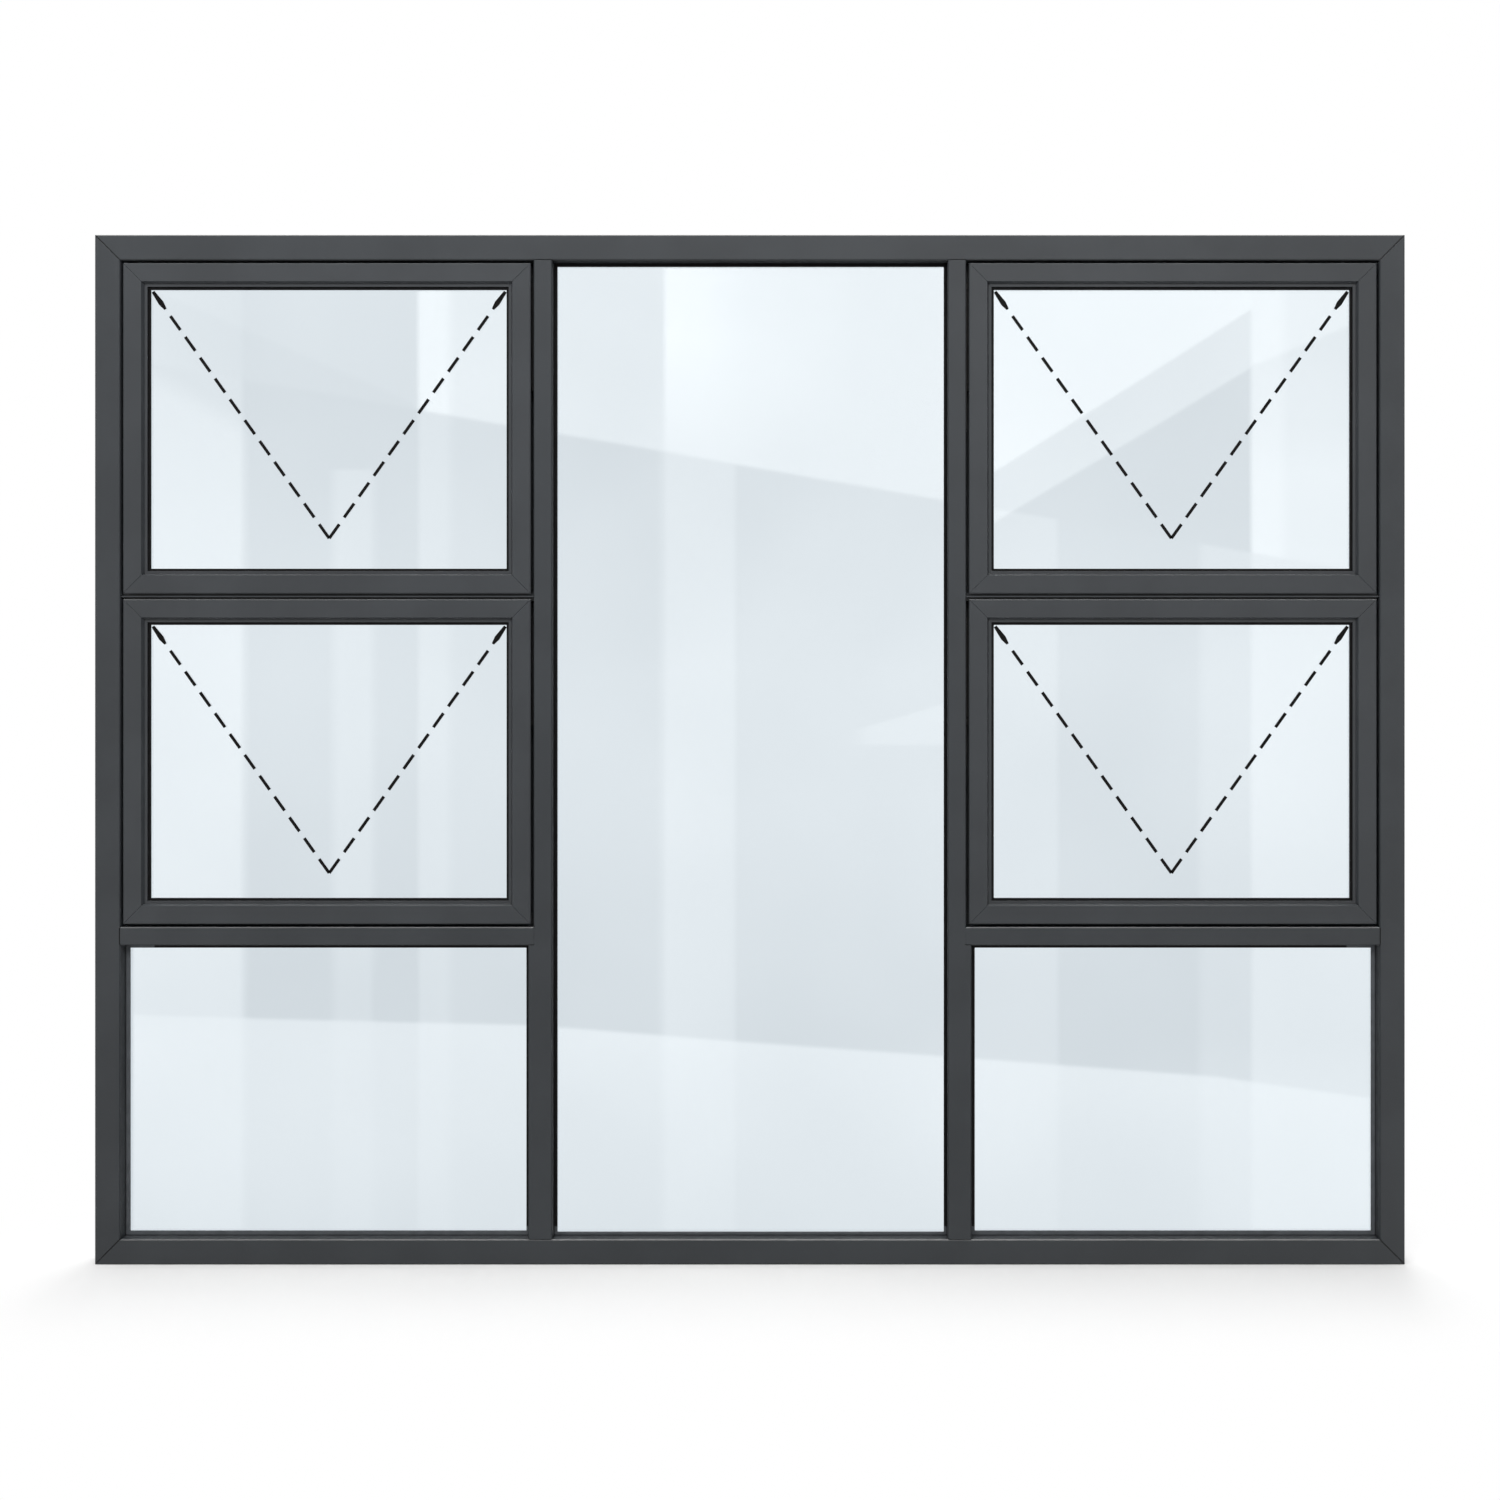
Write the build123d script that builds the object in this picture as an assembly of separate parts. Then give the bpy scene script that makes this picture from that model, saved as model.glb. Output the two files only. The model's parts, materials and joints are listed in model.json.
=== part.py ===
from build123d import *
import os

os.makedirs("parts", exist_ok=True)

# Overall size of the window in millimetres: width along X, depth along Y, height along Z
overall_width = 2290.0
overall_height = 1800.0
frame_depth = 50.0

# Layout of the lights, measured from the centre line and from the underside of the sill
centre_light_half_width = 346.0
lower_transom_top = 590.0
meeting_height = 1168.0

# Outer frame profile
frame_face = 44.0
frame_wall = 2.0
lip_depth = 22.0
pocket_depth = 14.0
edge_ease = 1.7

# Fine grooves along the mitre joints
mitre_groove_depth = 1.5
frame_mitre_groove = 1.4
sash_mitre_groove = 0.3
mitre_slack = 0.15

# Mullion and lower transom profile, which has a shorter lip on the side of the opening sashes
bar_face = 32.0
vent_lip = 6.0
widening = 9.5
widening_wall = 1.5

# Slim transom between the upper and lower sashes
meeting_gap = 9.6
meeting_nose_width = 2.5
meeting_nose_setback = 3.5
meeting_nose_depth = 9.0
meeting_tube_height = 14.0

# Sash profile
sash_gap = 5.0
sash_face = 32.0
sash_depth = 40.0
sash_flange = 8.0
sash_flange_thickness = 3.0
sash_tube = 20.0
sash_slope_width = 3.0
sash_slope_depth = 7.0
sash_band = 5.0
sash_lip_thickness = 3.5
sash_wall = 2.0

# Stops and weather seals behind the sashes
stop_thickness = 6.0
stop_cover = 5.0
seal_width = 4.0
butt_slack = 0.2

# Panes and what holds them
pane_thickness = 6.0
pane_clearance = 3.0
gasket_outside = 3.0
gasket_inside = 3.0
fixed_gasket_outside = 4.0
centre_sight = 5.5
low_sight = 7.5
sash_sight = 4.5
gasket_hidden = 7.0
bead_setback = 4.0
bead_nose = 5.0
bead_wall = 1.5

# Friction stays in the gap beside each sash
stay_setback = 15.0
stay_width = 16.0
stay_plate = 2.5
stay_track_length = 260.0
stay_arm_width = 12.0
stay_arm_length = 190.0
stay_rivet_radius = 3.0
stay_below_corner = 30.0

# Lever handles on the inside of each bottom rail
handle_base_length = 104.0
handle_base_width = 13.0
handle_base_height = 8.0
handle_boss_radius = 6.0
handle_standoff = 30.0
lever_length = 120.0
lever_root_radius = 6.5
lever_tip_radius = 4.5
lever_thickness = 9.0
lever_ease = 1.5

# Wall fixing holes through the rear chamber of each jamb, and the anchor groove round the frame
fixing_hole_radius = 3.25
fixing_end_distance = 200.0
fixing_half_spacing = 200.0
fixing_setback = 5.0
groove_width = 6.0
groove_depth = 3.0
groove_setback = 5.0

half_width = overall_width / 2
face_y = -frame_depth / 2
frame_back = frame_face - pocket_depth
bar_back_low = vent_lip
bar_back_high = bar_face - pocket_depth
vent_edge_x = centre_light_half_width + bar_face
lower_light_edge_x = vent_edge_x + widening
jamb_lip_x = half_width - frame_face
jamb_back_x = half_width - frame_back
head_lip_z = overall_height - frame_face
head_back_z = overall_height - frame_back
lower_transom_bottom = lower_transom_top - bar_face
sash_tube_edge = sash_flange + sash_tube
sash_lip_edge = sash_face + sash_slope_width + sash_band
sash_lip_back = sash_slope_depth + sash_lip_thickness


# Sections and solids, with the second section coordinate running inwards from the outside face
def oblong(w0, v0, w1, v1):
    return [(w0, v0), (w1, v0), (w1, v1), (w0, v1)]


def section(outline, hollows=()):
    shape = Polygon(*outline, align=None)
    for hollow in hollows:
        shape -= Polygon(*hollow, align=None)
    return shape


def run_of(across):
    return Vector(*across).cross(Vector(0, 1, 0))


def bar(profile, corner, across, length):
    run = run_of(across)
    seat = Plane(origin=corner, x_dir=across, z_dir=run)
    return extrude(seat * profile, amount=length, dir=run)


def mitre_blank(corner, run, length, width, inset, depth):
    seat = Plane(origin=corner, x_dir=run, z_dir=(0, 1, 0))
    plan = [(inset, 0), (length - inset, 0), (length - inset - width, width), (inset + width, width)]
    return extrude(seat * section(plan), amount=depth, dir=(0, 1, 0))


def mitred(profile, width, corner, across, length, slack, groove):
    run = run_of(across)
    piece = bar(profile, corner, across, length)
    piece &= mitre_blank(corner, run, length, width, slack, 2 * frame_depth)
    if groove:
        front = mitre_blank(corner, run, length, width, slack, mitre_groove_depth)
        piece -= front - mitre_blank(corner, run, length, width, slack + groove, mitre_groove_depth)
    return piece


def mitred_set(profile, width, x0, x1, z0, z1, slack=0.0, groove=0.0):
    top = mitred(profile, width, (x0, face_y, z1), (0, 0, -1), x1 - x0, slack, groove)
    bottom = mitred(profile, width, (x1, face_y, z0), (0, 0, 1), x1 - x0, slack, groove)
    left = mitred(profile, width, (x0, face_y, z0), (1, 0, 0), z1 - z0, slack, groove)
    right = mitred(profile, width, (x1, face_y, z1), (-1, 0, 0), z1 - z0, slack, groove)
    return {"top_rail": top, "bottom_rail": bottom, "left_stile": left, "right_stile": right}


def block(x0, x1, v0, v1, z0, z1):
    middle = Pos((x0 + x1) / 2, face_y + (v0 + v1) / 2, (z0 + z1) / 2)
    return middle * Box(x1 - x0, v1 - v0, z1 - z0)


def ring(x0, x1, z0, z1, inset, width, v0, v1):
    outer = block(x0 + inset, x1 - inset, v0, v1, z0 + inset, z1 - inset)
    hole = inset + width
    return outer - block(x0 + hole, x1 - hole, v0, v1, z0 + hole, z1 - hole)


def pin(radius, axis, centre, length):
    return extrude(Plane(origin=centre, z_dir=axis) * Circle(radius), amount=length, dir=axis)


def save(name, *solids):
    shape = solids[0] if len(solids) == 1 else Compound(children=list(solids))
    export_step(shape, "parts/" + name + ".step")


# Outer frame: four hollow bars mitred at the corners, with a glazing pocket behind the front lip
groove_back = frame_depth - groove_setback
groove_front = groove_back - groove_width
frame_outline = [
    (0, edge_ease),
    (edge_ease, 0),
    (frame_face - edge_ease, 0),
    (frame_face, edge_ease),
    (frame_face, lip_depth),
    (frame_back, lip_depth),
    (frame_back, frame_depth),
    (0, frame_depth),
    (0, groove_back),
    (groove_depth, groove_back),
    (groove_depth, groove_front),
    (0, groove_front),
]
frame_front = oblong(frame_wall, frame_wall, frame_face - frame_wall, lip_depth - frame_wall)
frame_rear = [
    (frame_wall, lip_depth),
    (frame_back - frame_wall, lip_depth),
    (frame_back - frame_wall, frame_depth - frame_wall),
    (frame_wall, frame_depth - frame_wall),
    (frame_wall, groove_back + frame_wall),
    (groove_depth + frame_wall, groove_back + frame_wall),
    (groove_depth + frame_wall, groove_front - frame_wall),
    (frame_wall, groove_front - frame_wall),
]
frame_profile = section(frame_outline, [frame_front, frame_rear])
frame_box = (-half_width, half_width, 0, overall_height)
frame = mitred_set(frame_profile, frame_face, *frame_box, groove=frame_mitre_groove)
fixing_y = face_y + lip_depth + fixing_setback
mid_height = overall_height / 2
fixing_heights = (
    fixing_end_distance,
    mid_height - fixing_half_spacing,
    mid_height + fixing_half_spacing,
    overall_height - fixing_end_distance,
)
for height in fixing_heights:
    left_hole = pin(fixing_hole_radius, (1, 0, 0), (-half_width, fixing_y, height), frame_back)
    frame["left_stile"] -= left_hole
    frame["right_stile"] -= mirror(left_hole, about=Plane.YZ)
save("frame_head", frame["top_rail"])
save("frame_sill", frame["bottom_rail"])
save("frame_jamb_left", frame["left_stile"])
save("frame_jamb_right", frame["right_stile"])

# Mullions and lower transoms: hollow bars whose rear part runs on into the pockets they meet
bar_outline = [
    (0, edge_ease),
    (edge_ease, 0),
    (bar_face - edge_ease, 0),
    (bar_face, edge_ease),
    (bar_face, lip_depth),
    (bar_back_high, lip_depth),
    (bar_back_high, frame_depth),
    (bar_back_low, frame_depth),
    (bar_back_low, lip_depth),
    (0, lip_depth),
]
bar_front = oblong(frame_wall, frame_wall, bar_face - frame_wall, lip_depth - frame_wall)
bar_rear = oblong(
    bar_back_low + frame_wall,
    lip_depth,
    bar_back_high - frame_wall,
    frame_depth - frame_wall,
)
bar_profile = section(bar_outline, [bar_front, bar_rear])
mullion = bar(bar_profile, (-vent_edge_x, face_y, frame_back), (1, 0, 0), head_back_z - frame_back)
mullion -= block(-vent_edge_x, vent_edge_x, 0, lip_depth, 0, frame_face)
mullion -= block(-vent_edge_x, vent_edge_x, 0, lip_depth, head_lip_z, overall_height)

# Beside the lower fixed light each mullion is widened to a full lip
widening_outline = [
    (0, edge_ease),
    (edge_ease, 0),
    (widening + edge_ease, 0),
    (widening + edge_ease, lip_depth),
    (0, lip_depth),
]
widening_hollow = oblong(widening_wall, widening_wall, widening - widening_wall, lip_depth - widening_wall)
widening_profile = section(widening_outline, [widening_hollow])
widening_length = lower_transom_bottom - frame_face
mullion += bar(widening_profile, (-lower_light_edge_x, face_y, frame_face), (1, 0, 0), widening_length)
save("mullion_left", mullion)
save("mullion_right", mirror(mullion, about=Plane.YZ))

transom_left_x = -jamb_back_x
transom_right_x = -vent_edge_x + bar_back_low
transom_length = transom_right_x - transom_left_x
transom = bar(bar_profile, (transom_left_x, face_y, lower_transom_top), (0, 0, -1), transom_length)
transom -= block(transom_left_x, -jamb_lip_x, 0, lip_depth, 0, overall_height)
transom -= block(-vent_edge_x, transom_right_x, 0, lip_depth, 0, overall_height)
save("lower_transom_left", transom)
save("lower_transom_right", mirror(transom, about=Plane.YZ))

# Meeting transoms: a slim tube behind both sashes, with a narrow nose in the gap between them
nose_back = meeting_nose_setback + meeting_nose_depth
tube_low = (meeting_tube_height - meeting_nose_width) / 2
tube_high = meeting_tube_height - tube_low
meeting_outline = [
    (tube_low, meeting_nose_setback),
    (tube_high, meeting_nose_setback),
    (tube_high, nose_back),
    (meeting_tube_height, nose_back),
    (meeting_tube_height, frame_depth),
    (0, frame_depth),
    (0, nose_back),
    (tube_low, nose_back),
]
meeting_hollow = oblong(
    frame_wall,
    nose_back + frame_wall,
    meeting_tube_height - frame_wall,
    frame_depth - frame_wall,
)
meeting_profile = section(meeting_outline, [meeting_hollow])
meeting_top = meeting_height + meeting_tube_height / 2
meeting = bar(meeting_profile, (transom_left_x, face_y, meeting_top), (0, 0, -1), transom_length)
meeting -= block(transom_left_x, -jamb_lip_x, 0, lip_depth, 0, overall_height)
meeting -= block(-vent_edge_x, transom_right_x, 0, lip_depth, 0, overall_height)
save("meeting_transom_left", meeting)
save("meeting_transom_right", mirror(meeting, about=Plane.YZ))

# Sash profile, with a flange over the stay gap and a sloped lip in front of the glass
sash_outline = [
    (0, edge_ease),
    (edge_ease, 0),
    (sash_face, 0),
    (sash_face + sash_slope_width, sash_slope_depth),
    (sash_lip_edge, sash_slope_depth),
    (sash_lip_edge, sash_lip_back),
    (sash_tube_edge, sash_lip_back),
    (sash_tube_edge, sash_depth),
    (sash_flange, sash_depth),
    (sash_flange, sash_flange_thickness),
    (0, sash_flange_thickness),
]
sash_hollow = oblong(
    sash_flange + sash_wall,
    sash_wall,
    sash_tube_edge - sash_wall,
    sash_depth - sash_wall,
)
sash_profile = section(sash_outline, [sash_hollow])

# Glazing beads on the inside, hollow and with a sloped nose, a little lower than the lip in front
sash_glass_face = sash_lip_back + gasket_outside
sash_glass_back = sash_glass_face + pane_thickness
fixed_glass_face = lip_depth + fixed_gasket_outside
fixed_glass_back = fixed_glass_face + pane_thickness


def bead_section(width, v0, v1):
    outline = [(0, v0), (width, v0), (width, v1 - bead_nose), (width - bead_nose, v1), (0, v1)]
    inner = width - bead_wall
    slant = bead_nose - bead_wall / 2
    hollow = [
        (bead_wall, v0 + bead_wall),
        (inner, v0 + bead_wall),
        (inner, v1 - bead_wall - slant),
        (inner - slant, v1 - bead_wall),
        (bead_wall, v1 - bead_wall),
    ]
    return section(outline, [hollow])


sash_bead_edge = sash_lip_edge - bead_setback
sash_bead_width = sash_bead_edge - sash_tube_edge
sash_bead = bead_section(sash_bead_width, sash_glass_back + gasket_inside, sash_depth)
fixed_bead_width = pocket_depth - bead_setback
fixed_bead = bead_section(fixed_bead_width, fixed_glass_back + gasket_inside, frame_depth)
outer_gaskets = []
inner_gaskets = []
fixed_beads = []
sash_beads = []

# Fixed lights: a tall one in the centre and a low one on each side
fixed_lights = {
    "centre": (-centre_light_half_width, centre_light_half_width, frame_face, head_lip_z, centre_sight),
    "lower_left": (-jamb_lip_x, -lower_light_edge_x, frame_face, lower_transom_bottom, low_sight),
    "lower_right": (lower_light_edge_x, jamb_lip_x, frame_face, lower_transom_bottom, low_sight),
}
for name, (x0, x1, z0, z1, sight) in fixed_lights.items():
    pocket = (x0 - pocket_depth, x1 + pocket_depth, z0 - pocket_depth, z1 + pocket_depth)
    low, high = pane_clearance - pocket_depth, pocket_depth - pane_clearance
    save(name + "_glass", block(x0 + low, x1 + high, fixed_glass_face, fixed_glass_back, z0 + low, z1 + high))
    hidden = pocket_depth - gasket_hidden
    outer_gaskets.append(ring(*pocket, hidden, gasket_hidden + sight, lip_depth, fixed_glass_face))
    inner_back = fixed_glass_back + gasket_inside
    inner_gaskets.append(ring(*pocket, hidden, fixed_bead_width - hidden, fixed_glass_back, inner_back))
    beads = mitred_set(fixed_bead, fixed_bead_width, *pocket, slack=mitre_slack)
    fixed_beads.extend(beads.values())

# Opening sashes: hung from the top in pairs, one above the other on each side
upper_z = (meeting_height + meeting_gap / 2, head_lip_z - sash_gap)
lower_z = (lower_transom_top + sash_gap, meeting_height - meeting_gap / 2)
left_x = (-jamb_lip_x + sash_gap, -vent_edge_x - sash_gap)
right_x = (vent_edge_x + sash_gap, jamb_lip_x - sash_gap)
sashes = {
    "upper_left": (*left_x, *upper_z),
    "lower_left": (*left_x, *lower_z),
    "upper_right": (*right_x, *upper_z),
    "lower_right": (*right_x, *lower_z),
}
stops = []
seals = []
stays = []
handle_bases = []
stop_back = frame_depth - stop_thickness
seal_edge = sash_flange + stop_cover
for name, (x0, x1, z0, z1) in sashes.items():
    bars = mitred_set(sash_profile, sash_lip_edge, x0, x1, z0, z1, groove=sash_mitre_groove)
    for piece, solid in bars.items():
        save(name + "_sash_" + piece, solid)
    edge = sash_tube_edge + pane_clearance
    pane = (x0 + edge, x1 - edge, sash_glass_face, sash_glass_back, z0 + edge, z1 - edge)
    save(name + "_sash_glass", block(*pane))
    hidden = sash_lip_edge - gasket_hidden
    outer_width = gasket_hidden + sash_sight
    outer_gaskets.append(ring(x0, x1, z0, z1, hidden, outer_width, sash_lip_back, sash_glass_face))
    inner_width = sash_bead_edge - hidden
    inner_back = sash_glass_back + gasket_inside
    inner_gaskets.append(ring(x0, x1, z0, z1, hidden, inner_width, sash_glass_back, inner_back))
    cut = sash_tube_edge
    seat = (x0 + cut, x1 - cut, z0 + cut, z1 - cut)
    beads = mitred_set(sash_bead, sash_bead_width, *seat, slack=mitre_slack)
    sash_beads.extend(beads.values())

    # Stops fixed to the frame bars, and the seal between them and the sash
    seals.append(ring(x0, x1, z0, z1, seal_edge - seal_width, seal_width, sash_depth, stop_back))
    on_left = x0 < 0
    jamb_reach = sash_gap + pocket_depth
    bar_reach = sash_gap + vent_lip
    stop_x0 = x0 - (jamb_reach if on_left else bar_reach)
    stop_x1 = x1 + (bar_reach if on_left else jamb_reach)
    meeting_reach = (meeting_gap - meeting_tube_height) / 2
    above = z0 > meeting_height
    stop_z0 = z0 - (meeting_reach if above else bar_reach)
    stop_z1 = z1 + (jamb_reach if above else meeting_reach)
    in_x0, in_x1, in_z0, in_z1 = x0 + seal_edge, x1 - seal_edge, z0 + seal_edge, z1 - seal_edge
    stops.append(block(stop_x0, stop_x1, stop_back, frame_depth, stop_z0, in_z0))
    stops.append(block(stop_x0, stop_x1, stop_back, frame_depth, in_z1, stop_z1))
    side_z = (in_z0 + butt_slack, in_z1 - butt_slack)
    stops.append(block(stop_x0, in_x0, stop_back, frame_depth, *side_z))
    stops.append(block(in_x1, stop_x1, stop_back, frame_depth, *side_z))

    # Friction stays: a track on the frame, two arms and a plate on the sash, riveted together
    stay_space = sash_gap + sash_flange
    stay_top = z1 - stay_below_corner
    arm_v = stay_setback + (stay_width - stay_arm_width) / 2
    arm_step = (stay_space - 4 * stay_plate) / 3
    for wall_x, inward in ((x0 - sash_gap, 1), (x1 + sash_gap, -1)):
        plates = []
        for index in range(4):
            near = wall_x + inward * index * (stay_plate + arm_step)
            far = near + inward * stay_plate
            outer_plate = index in (0, 3)
            v0 = stay_setback if outer_plate else arm_v
            v1 = v0 + (stay_width if outer_plate else stay_arm_width)
            length = stay_track_length if outer_plate else stay_arm_length
            plates.append(block(min(near, far), max(near, far), v0, v1, stay_top - length, stay_top))
        middle_y = face_y + stay_setback + stay_width / 2
        for drop in (stay_arm_width, stay_arm_length - stay_arm_width):
            rivet_at = Plane(origin=(wall_x, middle_y, stay_top - drop), z_dir=(inward, 0, 0))
            rivet_plan = rivet_at * RegularPolygon(stay_rivet_radius, 8)
            plates.append(extrude(rivet_plan, amount=stay_space, dir=(inward, 0, 0)))
        stays.append(plates[0].fuse(*plates[1:]))

    # Handle: a base on the bottom rail, and a lever that stands off it on a round boss
    middle_x = (x0 + x1) / 2
    middle_z = z0 + (seal_edge + sash_tube_edge) / 2
    back_y = face_y + sash_depth
    base_at = Plane(origin=(middle_x, back_y, middle_z), x_dir=(1, 0, 0), z_dir=(0, 1, 0))
    base_plan = SlotOverall(handle_base_length, handle_base_width)
    handle_bases.append(extrude(base_at * base_plan, amount=handle_base_height, dir=(0, 1, 0)))
    boss_at = (middle_x, back_y + handle_base_height, middle_z)
    boss = pin(handle_boss_radius, (0, 1, 0), boss_at, handle_standoff - handle_base_height + lever_ease)
    lever_at = Plane(origin=(middle_x, back_y + handle_standoff, middle_z), x_dir=(1, 0, 0), z_dir=(0, 1, 0))
    tip = lever_length - lever_root_radius - lever_tip_radius
    lever_ends = Circle(lever_root_radius).edges() + (Pos(tip, 0) * Circle(lever_tip_radius)).edges()
    lever = extrude(lever_at * make_hull(lever_ends), amount=lever_thickness, dir=(0, 1, 0))
    lever = fillet(lever.edges(), lever_ease)
    save(name + "_handle", lever + boss)

save("fixed_glazing_beads", *fixed_beads)
save("sash_glazing_beads", *sash_beads)
save("glazing_gaskets_outside", *outer_gaskets)
save("glazing_gaskets_inside", *inner_gaskets)
save("sash_stops", *stops)
save("sash_weather_seals", *seals)
save("friction_stays", *stays)
save("handle_bases", *handle_bases)
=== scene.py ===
import bmesh
import bpy
import json
import math
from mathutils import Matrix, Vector


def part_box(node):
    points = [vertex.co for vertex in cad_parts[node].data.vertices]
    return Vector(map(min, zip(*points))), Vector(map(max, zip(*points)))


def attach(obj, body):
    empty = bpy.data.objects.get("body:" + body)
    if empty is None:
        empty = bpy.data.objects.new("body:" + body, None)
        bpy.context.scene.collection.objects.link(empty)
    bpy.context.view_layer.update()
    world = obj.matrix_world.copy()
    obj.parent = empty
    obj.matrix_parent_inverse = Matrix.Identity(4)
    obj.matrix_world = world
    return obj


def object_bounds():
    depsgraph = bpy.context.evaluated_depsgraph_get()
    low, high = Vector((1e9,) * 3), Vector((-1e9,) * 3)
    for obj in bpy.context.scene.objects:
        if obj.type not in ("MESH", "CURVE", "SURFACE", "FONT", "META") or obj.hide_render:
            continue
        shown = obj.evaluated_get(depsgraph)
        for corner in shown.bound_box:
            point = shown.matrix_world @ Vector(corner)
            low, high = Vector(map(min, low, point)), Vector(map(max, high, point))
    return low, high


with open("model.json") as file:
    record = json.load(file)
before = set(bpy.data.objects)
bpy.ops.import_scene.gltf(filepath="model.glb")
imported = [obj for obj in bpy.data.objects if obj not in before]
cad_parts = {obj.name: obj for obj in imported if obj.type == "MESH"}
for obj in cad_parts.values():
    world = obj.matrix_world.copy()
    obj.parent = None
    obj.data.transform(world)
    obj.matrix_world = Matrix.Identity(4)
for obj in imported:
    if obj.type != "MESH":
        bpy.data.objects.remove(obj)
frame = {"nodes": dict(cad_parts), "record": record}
cad_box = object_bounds()
nodes = frame["nodes"]
scene = bpy.context.scene


# Shader helpers
def shader(name):
    mat = bpy.data.materials.new(name)
    mat.use_nodes = True
    tree = mat.node_tree
    return mat, tree, tree.nodes["Principled BSDF"]


def add(tree, kind, **values):
    node = tree.nodes.new(kind)
    for key, value in values.items():
        setattr(node, key, value)
    return node


def axes(tree, space="Object"):
    coord = add(tree, "ShaderNodeTexCoord")
    split = add(tree, "ShaderNodeSeparateXYZ")
    tree.links.new(coord.outputs[space], split.inputs["Vector"])
    return split.outputs


def math_node(tree, operation, *values):
    node = add(tree, "ShaderNodeMath", operation=operation)
    for socket, value in zip(node.inputs, values):
        if isinstance(value, float):
            socket.default_value = value
        else:
            tree.links.new(value, socket)
    return node.outputs["Value"]


def map_range(tree, source, start, end, low=0.0, high=1.0, smooth=False):
    kind = "SMOOTHSTEP" if smooth else "LINEAR"
    node = add(tree, "ShaderNodeMapRange", interpolation_type=kind)
    node.inputs["From Min"].default_value = start
    node.inputs["From Max"].default_value = end
    node.inputs["To Min"].default_value = low
    node.inputs["To Max"].default_value = high
    tree.links.new(source, node.inputs["Value"])
    return node.outputs["Result"]


def noise(tree, scale, detail=2.0, rough=0.5, space="Object"):
    coord = add(tree, "ShaderNodeTexCoord")
    tex = add(tree, "ShaderNodeTexNoise")
    tex.inputs["Scale"].default_value = scale
    tex.inputs["Detail"].default_value = detail
    tex.inputs["Roughness"].default_value = rough
    tree.links.new(coord.outputs[space], tex.inputs["Vector"])
    return tex.outputs["Fac"]


def ramp(tree, source, stops, smooth=True):
    node = add(tree, "ShaderNodeValToRGB")
    node.color_ramp.interpolation = "EASE" if smooth else "LINEAR"
    marks = node.color_ramp.elements
    while len(marks) < len(stops):
        marks.new(0.5)
    for mark, (at, colour) in zip(marks, stops):
        mark.position = at
        mark.color = (*colour, 1.0)
    tree.links.new(source, node.inputs["Fac"])
    return node.outputs["Color"]


def spread(tree, source, low, high):
    return map_range(tree, source, 0.3, 0.7, low, high)


def bump(tree, bsdf, source, strength, distance):
    node = add(tree, "ShaderNodeBump")
    node.inputs["Strength"].default_value = strength
    node.inputs["Distance"].default_value = distance
    tree.links.new(source, node.inputs["Height"])
    tree.links.new(node.outputs["Normal"], bsdf.inputs["Normal"])


def tone(colour, factor):
    return tuple(c * factor for c in colour)


# Painted shade in fine joints and inside corners: a colour that darkens to the given shade tone
# there
def painted_corner_shade(tree, colour, corner_shade_tone):
    joint = add(tree, "ShaderNodeAmbientOcclusion", samples=8)
    joint.inputs["Distance"].default_value = 0.003
    stops = [(0.45, (corner_shade_tone,) * 3), (0.95, (1.0,) * 3)]
    shade = ramp(tree, joint.outputs["AO"], stops, smooth=False)
    darkened = add(tree, "ShaderNodeMixRGB", blend_type="MULTIPLY")
    darkened.inputs["Fac"].default_value = 1.0
    tree.links.new(colour, darkened.inputs["Color1"])
    tree.links.new(shade, darkened.inputs["Color2"])
    return darkened.outputs["Color"]


# Satin powder coat: cloudy tone, fine grain, faint orange peel, and painted shade in fine joints
# and inside corners
def powder_coat(name, colour, rough, corner_shade_tone=0.5):
    mat, tree, bsdf = shader(name)
    bsdf.inputs["Specular IOR Level"].default_value = 0.25
    stops = [(0.35, tone(colour, 0.94)), (0.65, tone(colour, 1.06))]
    cloud = ramp(tree, noise(tree, scale=7.0, detail=3.0), stops)
    grain = spread(tree, noise(tree, scale=60.0), rough - 0.04, rough + 0.04)
    peel = noise(tree, scale=1400.0, detail=3.0, rough=0.6)
    tree.links.new(painted_corner_shade(tree, cloud, corner_shade_tone), bsdf.inputs["Base Color"])
    tree.links.new(grain, bsdf.inputs["Roughness"])
    bump(tree, bsdf, peel, strength=0.18, distance=0.0001)
    return mat


# Matt rubber, also for thin film: uneven tone and a fine grain
def rubber(name, colour):
    mat, tree, bsdf = shader(name)
    stops = [(0.3, tone(colour, 0.8)), (0.7, tone(colour, 1.25))]
    uneven = ramp(tree, noise(tree, scale=40.0), stops)
    tree.links.new(uneven, bsdf.inputs["Base Color"])
    bsdf.inputs["Specular IOR Level"].default_value = 0.12
    tree.links.new(spread(tree, noise(tree, scale=90.0), 0.55, 0.7), bsdf.inputs["Roughness"])
    bump(tree, bsdf, noise(tree, scale=900.0), strength=0.2, distance=0.0001)
    return mat


# Float glass: pale blue-green tint and a very slight wave that moves the reflections
def float_glass(name, colour):
    mat, tree, bsdf = shader(name)
    bsdf.inputs["Transmission Weight"].default_value = 1.0
    bsdf.inputs["IOR"].default_value = 1.7
    bsdf.inputs["Roughness"].default_value = 0.0
    stops = [(0.3, tone(colour, 0.985)), (0.7, colour)]
    tint = ramp(tree, noise(tree, scale=1.1, detail=1.0), stops)
    tree.links.new(tint, bsdf.inputs["Base Color"])
    bump(tree, bsdf, noise(tree, scale=3.0, detail=0.0), strength=0.03, distance=0.002)
    return mat


# Glazing gasket: black, with a painted highlight along the sill and up the jambs beside the low
# lights, where it is painted a lighter slate grey for the light those lengths catch
jamb_side = 1.05
low_light_top = 0.58
sill_top = 0.06


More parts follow.
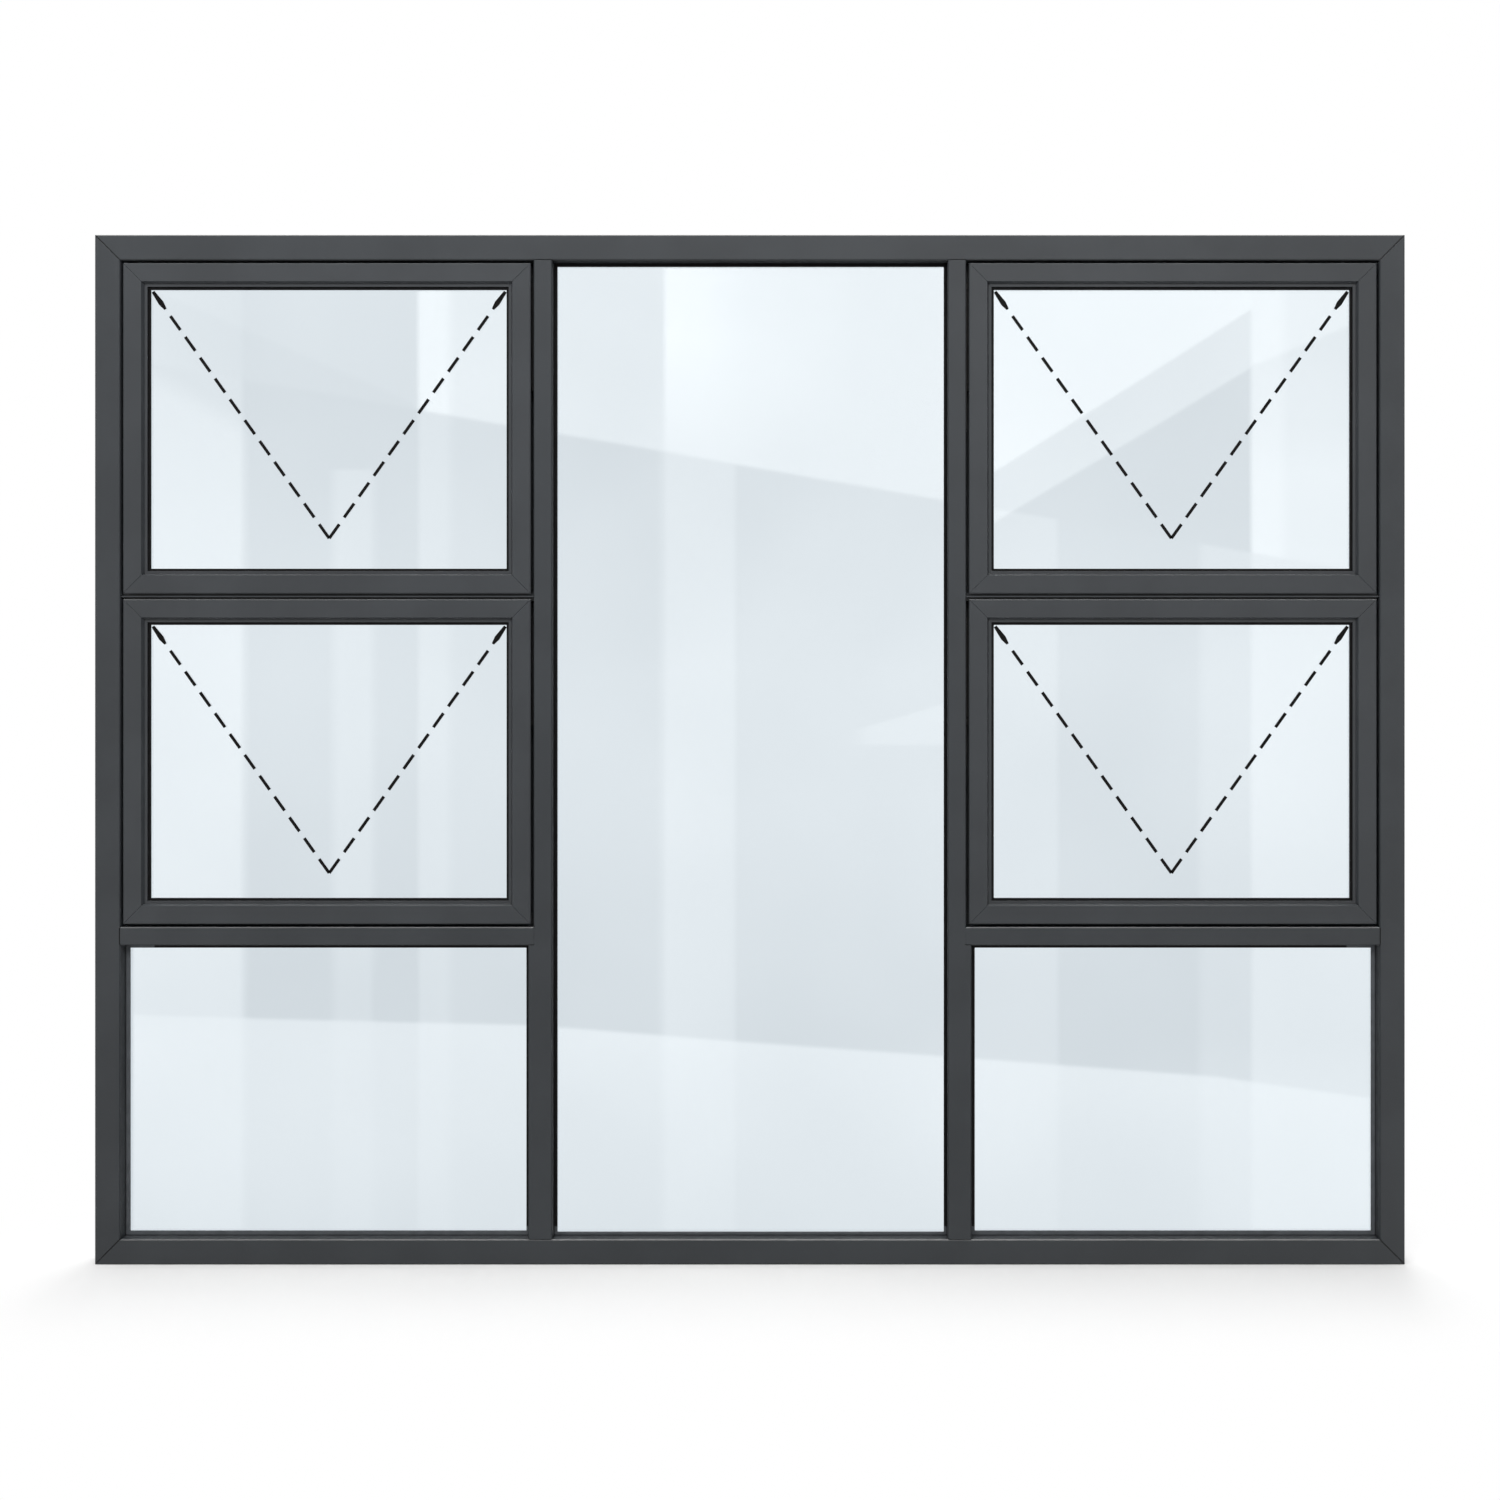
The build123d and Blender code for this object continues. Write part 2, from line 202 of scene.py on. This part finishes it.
def glazing_gasket(name, colour, painted_light_colour):
    mat = rubber(name, colour)
    tree = mat.node_tree
    base_colour = tree.nodes["Principled BSDF"].inputs["Base Color"]
    black = base_colour.links[0].from_socket
    place = axes(tree)
    off_centre = math_node(tree, "ABSOLUTE", place["X"])
    on_jamb = math_node(tree, "GREATER_THAN", off_centre, jamb_side)
    in_low_light = math_node(tree, "LESS_THAN", place["Z"], low_light_top)
    on_sill = math_node(tree, "LESS_THAN", place["Z"], sill_top)
    low_jamb = math_node(tree, "MULTIPLY", on_jamb, in_low_light)
    painted_light_place = math_node(tree, "MAXIMUM", on_sill, low_jamb)
    # The painted highlight: a lighter slate grey on the sill and low jamb lengths
    stops = [(0.3, tone(painted_light_colour, 0.9)), (0.7, tone(painted_light_colour, 1.1))]
    painted_light_grey = ramp(tree, noise(tree, scale=40.0), stops)
    pick = add(tree, "ShaderNodeMixRGB")
    tree.links.new(painted_light_place, pick.inputs["Fac"])
    tree.links.new(black, pick.inputs["Color1"])
    tree.links.new(painted_light_grey, pick.inputs["Color2"])
    # Painted shade in the gasket's joints and corners, down to a near-black tone
    tree.links.new(painted_corner_shade(tree, pick.outputs["Color"], 0.05), base_colour)
    return mat


materials = {
    # A coat's last number, where given, is the tone of its painted shade in joints and corners (0.5
    # otherwise)
    "frame_coat": powder_coat("frame_coat", (0.033, 0.0368, 0.0410), 0.37, 0.15),
    "sash_coat": powder_coat("sash_coat", (0.036, 0.0397, 0.0441), 0.37),
    "bead_coat": powder_coat("bead_coat", (0.033, 0.0368, 0.0410), 0.37),
    "handle_coat": powder_coat("handle_coat", (0.028, 0.030, 0.033), 0.36),
    "glass": float_glass("glass", (0.75, 0.82, 0.87)),
    # The gasket's second colour is its painted highlight along the sill and the low jambs
    "gasket": glazing_gasket("gasket", (0.004, 0.004, 0.0045), (0.085, 0.092, 0.100)),
    "seal": rubber("seal", (0.006, 0.006, 0.0065)),
    "stay_coat": powder_coat("stay_coat", (0.010, 0.010, 0.011), 0.4),
}
# Black film for the printed opening marks, also the painted shadow line of the jamb seal strips
mark_and_shadow_film = rubber("mark_and_shadow_film", (0.002, 0.002, 0.002))

# Each CAD piece takes the finish of its slot, with fine edges
slots = {part["node"]: part["material_slot"] for part in frame["record"]["subparts"]}
weld_distance = 0.00001
edge_angle = math.radians(30)
edge_width = {
    "frame_coat": 0.0003,
    "sash_coat": 0.0003,
    "bead_coat": 0.0005,
    "handle_coat": 0.0008,
    "gasket": 0.0006,
    "glass": 0.0003,
}
for name, node in nodes.items():
    slot = slots[name]
    node.data.materials.clear()
    node.data.materials.append(materials[slot])
    if slot in edge_width:
        weld = node.modifiers.new("weld", "WELD")
        weld.merge_threshold = weld_distance
        edge = node.modifiers.new("edge", "BEVEL")
        edge.width = edge_width[slot]
        edge.segments = 2
        edge.limit_method = "ANGLE"
        edge.angle_limit = edge_angle
        edge.harden_normals = True


# A piece of thin trim that belongs to the window
def add_trim(name, verts, faces, material):
    mesh = bpy.data.meshes.new(name)
    mesh.from_pydata(verts, [], faces)
    body = bmesh.new()
    body.from_mesh(mesh)
    bmesh.ops.recalc_face_normals(body, faces=body.faces)
    body.to_mesh(mesh)
    body.free()
    mesh.materials.append(material)
    piece = bpy.data.objects.new(name, mesh)
    scene.collection.objects.link(piece)
    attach(piece, "root")


# Dashed opening marks on the glass of each sash: two lines from the top corners to one low point
def opening_mark(name, x0, x1, z0, z1, y, apex_height):
    corner_in = 0.0025
    first, dash, gap, half, thick = 0.038, 0.0285, 0.0145, 0.0028, 0.0001
    swell_at, swell, taper = 0.66, 1.7, 0.8
    apex = Vector(((x0 + x1) / 2, 0, z0 + apex_height))
    verts, faces = [], []
    for start_x in (x0 + corner_in, x1 - corner_in):
        start = Vector((start_x, 0, z1 - corner_in))
        line = apex - start
        along = line.normalized()
        side = Vector((-along.z, 0, along.x))
        rest = line.length - first
        count = round(rest / (dash + gap))
        step = rest / count
        strokes = [[(0.0, half), (first * swell_at, half * swell), (first, half * taper)]]
        for index in range(count):
            near = first + index * step + gap
            strokes.append([(near, half), (near + step - gap, half)])
        for stroke in strokes:
            base = len(verts)
            for t, reach in stroke:
                for sign, depth in ((-1, y), (1, y), (1, y - thick), (-1, y - thick)):
                    p = start + along * t + side * (reach * sign)
                    verts.append((p.x, depth, p.z))
            last = base + 4 * (len(stroke) - 1)
            faces.append((base, base + 1, base + 2, base + 3))
            faces.append((last + 3, last + 2, last + 1, last))
            for ring in range(base, last, 4):
                for k in range(4):
                    nxt = (k + 1) % 4
                    faces.append((ring + k, ring + 4 + k, ring + 4 + nxt, ring + nxt))
    add_trim(name, verts, faces, mark_and_shadow_film)


lip_edge, sight = 0.040, 0.0045
inset = lip_edge + sight
apex_heights = {"upper": 0.0535, "lower": 0.0435}
for side in ("left", "right"):
    for row, apex_height in apex_heights.items():
        sash = f"{row}_{side}"
        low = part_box(sash + "_sash_left_stile")[0]
        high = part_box(sash + "_sash_right_stile")[1]
        glass_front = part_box(sash + "_sash_glass")[0].y
        edges = (low.x + inset, high.x - inset, low.z + inset, high.z - inset)
        opening_mark(sash + "_opening_mark", *edges, glass_front, apex_height)


# Strip in the groove beside a bar's eased edge, where a transom meets the bar
def joint_strip(name, edge_x, outward, z0, z1, sink, material, slot):
    face_y = cad_box[0][1]
    front = (edge_x, face_y + sink)
    tip = (edge_x + outward * (groove_width - sink), face_y + sink)
    root = (edge_x, face_y + groove_width)
    verts = [(x, y, z) for z in (z0, z1) for x, y in (front, tip, root)]
    faces = [(0, 1, 2), (5, 4, 3), (0, 3, 4, 1), (1, 4, 5, 2), (2, 5, 3, 0)]
    add_trim(name, verts, faces, material)


# Each lower transom is sealed with a black strip at the jamb, which is also a painted shadow line
# in the groove, and filled flush at the mullion
groove_width = 0.0017
sash_gap = 0.005
seal_sink = 0.0001
fill_sink = 0.0
frame_coat = materials["frame_coat"]
for side, other, outward, inner in (("left", "right", -1, 1), ("right", "left", 1, 0)):
    transom = "lower_transom_" + side
    z0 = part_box(transom)[0].z + groove_width
    z1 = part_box(transom)[1].z - groove_width
    jamb_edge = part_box("frame_jamb_" + side)[inner].x
    sash_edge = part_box(f"upper_{side}_sash_{other}_stile")[inner].x
    vent_edge = sash_edge - outward * sash_gap
    # A black sealant strip that is also a painted shadow line along the jamb joint
    seal = (jamb_edge, outward, z0, z1, seal_sink, mark_and_shadow_film, "seal")
    fill = (vent_edge, -outward, z0, z1, fill_sink, frame_coat, "frame_coat")
    joint_strip(transom + "_jamb_seal_and_painted_shadow", *seal)
    joint_strip(transom + "_joint_fill", *fill)


# Pale floor that fades into the white background away from the window
def floor_material():
    mat, tree, bsdf = shader("pale_floor")
    bsdf.inputs["Roughness"].default_value = 0.9
    bsdf.inputs["Specular IOR Level"].default_value = 0.0
    bsdf.inputs["Base Color"].default_value = (0.91, 0.91, 0.91, 1.0)
    glow = add(tree, "ShaderNodeEmission")
    place = axes(tree)
    off_side = math_node(tree, "ABSOLUTE", place["X"])
    past_end = map_range(tree, off_side, start=1.06, end=1.30, high=0.36)
    away = add(tree, "ShaderNodeCombineXYZ")
    tree.links.new(past_end, away.inputs["X"])
    tree.links.new(place["Y"], away.inputs["Y"])
    far = add(tree, "ShaderNodeVectorMath", operation="LENGTH")
    tree.links.new(away.outputs["Vector"], far.inputs[0])
    fade = map_range(tree, far.outputs["Value"], start=0.02, end=0.42, smooth=True)
    path = add(tree, "ShaderNodeLightPath")
    part = math_node(tree, "MULTIPLY", path.outputs["Is Camera Ray"], fade)
    mix = add(tree, "ShaderNodeMixShader")
    tree.links.new(part, mix.inputs["Fac"])
    tree.links.new(bsdf.outputs["BSDF"], mix.inputs[1])
    tree.links.new(glow.outputs["Emission"], mix.inputs[2])
    tree.links.new(mix.outputs["Shader"], tree.nodes["Material Output"].inputs["Surface"])
    return mat


reach, floor_z = 30.0, -0.0004
floor_outline = ((-reach, -reach), (reach, -reach), (reach, reach), (-reach, reach))
floor_corners = [(x, y, floor_z) for x, y in floor_outline]
floor_mesh = bpy.data.meshes.new("floor")
floor_mesh.from_pydata(floor_corners, [], [(0, 1, 2, 3)])
floor_mesh.materials.append(floor_material())
floor = bpy.data.objects.new("floor", floor_mesh)
scene.collection.objects.link(floor)
floor.visible_glossy = False
floor.visible_transmission = False

# World: white to look at, even soft light, and a studio with tall panels in the reflections
world = bpy.data.worlds.new("studio")
scene.world = world
world.use_nodes = True
world_tree = world.node_tree
world_tree.nodes.clear()
output = add(world_tree, "ShaderNodeOutputWorld")
ray = axes(world_tree, "Generated")


def calc(operation, *values):
    return math_node(world_tree, operation, *values)


def total(first, *others):
    for other in others:
        first = calc("ADD", first, other)
    return first


def times(first, *others):
    for other in others:
        first = calc("MULTIPLY", first, other)
    return first


def inverse(value):
    return calc("SUBTRACT", 1.0, value)


def level(source, stops):
    return ramp(world_tree, source, [(at, (value,) * 3) for at, value in stops], smooth=False)


def rise(source, start, end, high=1.0):
    return map_range(world_tree, source, start, end, high=high, smooth=True)


# Studio that mirrored rays see: across runs 0 to 1 from its left end, down 0 to 1 from its top
studio_scale, studio_middle, studio_height = 1.0515, 0.5627, 0.4687
least_depth = 0.02
depth = calc("MAXIMUM", calc("ABSOLUTE", ray["Y"]), least_depth)
across = total(times(calc("DIVIDE", ray["X"], depth), studio_scale), studio_middle)
down = calc("SUBTRACT", studio_height, times(calc("DIVIDE", ray["Z"], depth), studio_scale))


def under(edge, soft=0.002):
    return rise(calc("SUBTRACT", down, edge), -soft, soft)


def below(x, y, slope, soft=0.002):
    return under(total(times(across, slope), y - slope * x), soft)


# Light ceiling with a lamp, between beams
under_ceiling = below(x=0.29, y=0.275, slope=0.1716)
over_wall = inverse(under_ceiling)
ceiling_stops = [
    (0.100, 1.05), (0.160, 0.60), (0.164, 0.38), (0.277, 0.38), (0.281, 2.10), (0.299, 2.10),
    (0.302, 1.48), (0.440, 1.38), (0.444, 1.50), (0.500, 1.50), (0.570, 1.62), (0.645, 1.75),
    (0.646, 0.40), (0.833, 0.45), (0.836, 2.20), (0.854, 2.20), (0.857, 1.85),
]
ceiling = times(over_wall, level(across, ceiling_stops))
lamp_stops = [
    (0.442, 0.0), (0.445, 1.25), (0.470, 1.10), (0.500, 0.55), (0.530, 0.2), (0.570, 0.0),
]
lamp_down = level(down, [(0.170, 0.8), (0.225, 1.0), (0.250, 0.85), (0.300, 0.3)])
lamp = times(level(across, lamp_stops), lamp_down, over_wall)
beam_across = level(across, [(0.275, 0.15), (0.279, 0.0)])
beam = times(inverse(below(x=0.13, y=0.205, slope=0.4375)), beam_across)

# Pale floor of the studio
floor_edge = [(0.09, 0.676), (0.35, 0.683), (0.62, 0.703), (0.81, 0.717), (0.91, 0.731)]
on_floor = under(level(across, floor_edge))
ground_across = level(across, [(0.1, 0.50), (0.36, 0.62), (0.9, 0.72)])
ground_down = level(down, [(0.69, 0.7), (0.82, 0.05)])
ground = times(on_floor, total(ground_across, ground_down))

# Dark wall with tall panels
wall_tone = level(down, [(0.26, 0.40), (0.45, 0.85), (0.56, 0.60), (0.69, 0.15)])
wall = times(under_ceiling, inverse(on_floor), wall_tone)
panel_stops = [
    (0.100, 0.80), (0.160, 0.75), (0.164, 0.25), (0.278, 0.18), (0.281, 0.80), (0.299, 0.80),
    (0.302, 0.45), (0.340, 0.40), (0.440, 0.30), (0.444, 0.98), (0.488, 0.90), (0.492, 0.42),
    (0.650, 0.70), (0.703, 0.70), (0.707, 0.25), (0.798, 0.30), (0.802, 0.70), (0.833, 0.70),
    (0.836, 1.35), (0.857, 1.30),
]
panel_zero = 0.42
panel_tone = total(level(across, panel_stops), -panel_zero)
panels = times(panel_tone, under_ceiling, inverse(times(on_floor, 0.55)))
thin_across = level(across, [(0.221, 0.0), (0.224, 0.50), (0.248, 0.50), (0.251, 0.0)])
thin_top = below(x=0.236, y=0.313, slope=0.0)
thin_panel = times(thin_across, thin_top, inverse(times(on_floor, 0.75)))

# Slanted screen at the right, a light corner at the left and a short streak
to_right = level(across, [(0.645, 0.0), (0.646, 1.0), (0.833, 1.0), (0.836, 0.0)])
past_right = level(across, [(0.833, 0.0), (0.836, 1.0)])
over_screen = inverse(below(x=0.7513, y=0.2587, slope=-0.63))
on_screen = times(inverse(over_screen), inverse(below(x=0.7513, y=0.295, slope=-0.60)))
lit_screen = times(to_right, total(times(over_screen, 1.85), times(on_screen, 0.85)))
shade_down = level(down, [(0.235, 0.5), (0.28, 0.35), (0.315, 0.0)])
right_shade = times(past_right, below(x=0.857, y=0.235, slope=-0.417), shade_down)
screen = calc("SUBTRACT", lit_screen, right_shade)
to_left = level(across, [(0.162, 1.0), (0.168, 0.0)])
corner_top = below(x=0.10, y=0.25, slope=0.54, soft=0.012)
low_left = times(to_left, corner_top, inverse(times(on_floor, 0.7)), 0.55)
streak_across = level(across, [(0.568, 0.0), (0.58, 0.4), (0.645, 0.4), (0.646, 0.0)])
streak_top = below(x=0.568, y=0.487, slope=-0.3)
streak = times(streak_top, inverse(below(x=0.6, y=0.496, slope=0.0)), streak_across)

# The studio with a light haze, dimmer to the sides and behind, and a bright panel overhead
haze = times(total(noise(world_tree, scale=7.0, space="Generated"), -0.5), 0.9)
parts = (ceiling, lamp, beam, wall, panels, thin_panel, ground, screen, low_left, streak, haze)
sideways = calc("ABSOLUTE", ray["X"])
to_side = rise(sideways, start=0.55, end=0.85)
behind = rise(ray["Y"], start=-0.05, end=0.35)
overhead = rise(ray["Z"], start=0.75, end=0.97, high=15.0)
dimmed = times(inverse(times(to_side, 0.9)), inverse(times(behind, 0.6)))
front = times(calc("MAXIMUM", total(*parts), 0.0), dimmed)
above = times(overhead, inverse(behind))
tinted = add(world_tree, "ShaderNodeMixRGB", blend_type="MULTIPLY")
tinted.inputs["Fac"].default_value = 1.0
tinted.inputs["Color2"].default_value = (1.0, 0.97, 0.93, 1.0)
world_tree.links.new(total(front, above), tinted.inputs["Color1"])
studio = add(world_tree, "ShaderNodeBackground")
world_tree.links.new(tinted.outputs["Color"], studio.inputs["Color"])

# Even light from the sky, with a fill from both sides behind the window
sky = map_range(world_tree, ray["Z"], start=-0.2, end=1.0, low=0.35, high=0.70)
side_fill = times(rise(sideways, start=0.86, end=0.97, high=6.0), behind)
soft = add(world_tree, "ShaderNodeBackground")
world_tree.links.new(total(sky, side_fill), soft.inputs["Strength"])
white = add(world_tree, "ShaderNodeBackground")
white.inputs["Color"].default_value = (1.0, 1.0, 1.0, 1.0)

# White to the eye and through the glass, the studio in reflections, the sky for all other light
path = add(world_tree, "ShaderNodeLightPath")
mirrored = calc("MINIMUM", path.outputs["Glossy Depth"], 1.0)
direct = inverse(calc("MINIMUM", path.outputs["Diffuse Depth"], 1.0))
looking = calc("MAXIMUM", path.outputs["Is Camera Ray"], path.outputs["Is Transmission Ray"])
lit = add(world_tree, "ShaderNodeMixShader")
world_tree.links.new(times(looking, direct), lit.inputs["Fac"])
world_tree.links.new(soft.outputs["Background"], lit.inputs[1])
world_tree.links.new(white.outputs["Background"], lit.inputs[2])
seen = add(world_tree, "ShaderNodeMixShader")
world_tree.links.new(mirrored, seen.inputs["Fac"])
world_tree.links.new(lit.outputs["Shader"], seen.inputs[1])
world_tree.links.new(studio.outputs["Background"], seen.inputs[2])
world_tree.links.new(seen.outputs["Shader"], output.inputs["Surface"])


# Three soft lights: a large one in front and above, a narrow one overhead and one behind
def soft_light(name, place, target, width, height, power):
    data = bpy.data.lights.new(name, "AREA")
    data.shape = "RECTANGLE"
    data.size = width
    data.size_y = height
    data.energy = power
    light = bpy.data.objects.new(name, data)
    scene.collection.objects.link(light)
    light.location = place
    light.visible_glossy = False
    light.visible_transmission = False
    toward = Vector(target) - Vector(place)
    light.rotation_euler = toward.to_track_quat("-Z", "Y").to_euler()


soft_light("front_light", (-0.4, -2.5, 3.1), (0.0, 0.0, 1.1), width=4.6, height=1.2, power=117.0)
soft_light("top_light", (0.0, 0.25, 3.4), (0.0, 0.25, 0.0), width=3.2, height=0.55, power=10.0)
soft_light("back_light", (0.5, 2.6, 2.8), (0.0, 0.0, 1.0), width=3.0, height=1.2, power=75.0)

# Camera straight on, a little right of the middle, shifted to the photograph's framing
image_width = 2.6215
image_middle_x, image_middle_z = 0.0003, 0.8995
distance = 2.76
sensor = 36.0
eye = Vector((0.1646, cad_box[0][1] - distance, 0.981))
camera_data = bpy.data.cameras.new("camera")
camera = bpy.data.objects.new("camera", camera_data)
scene.collection.objects.link(camera)
camera.location = eye
camera.rotation_euler = (math.radians(90), 0, 0)
camera_data.sensor_width = sensor
camera_data.lens = sensor * distance / image_width
camera_data.shift_x = (image_middle_x - eye.x) / image_width
camera_data.shift_y = (image_middle_z - eye.z) / image_width
scene.camera = camera

scene.view_settings.view_transform = "Standard"
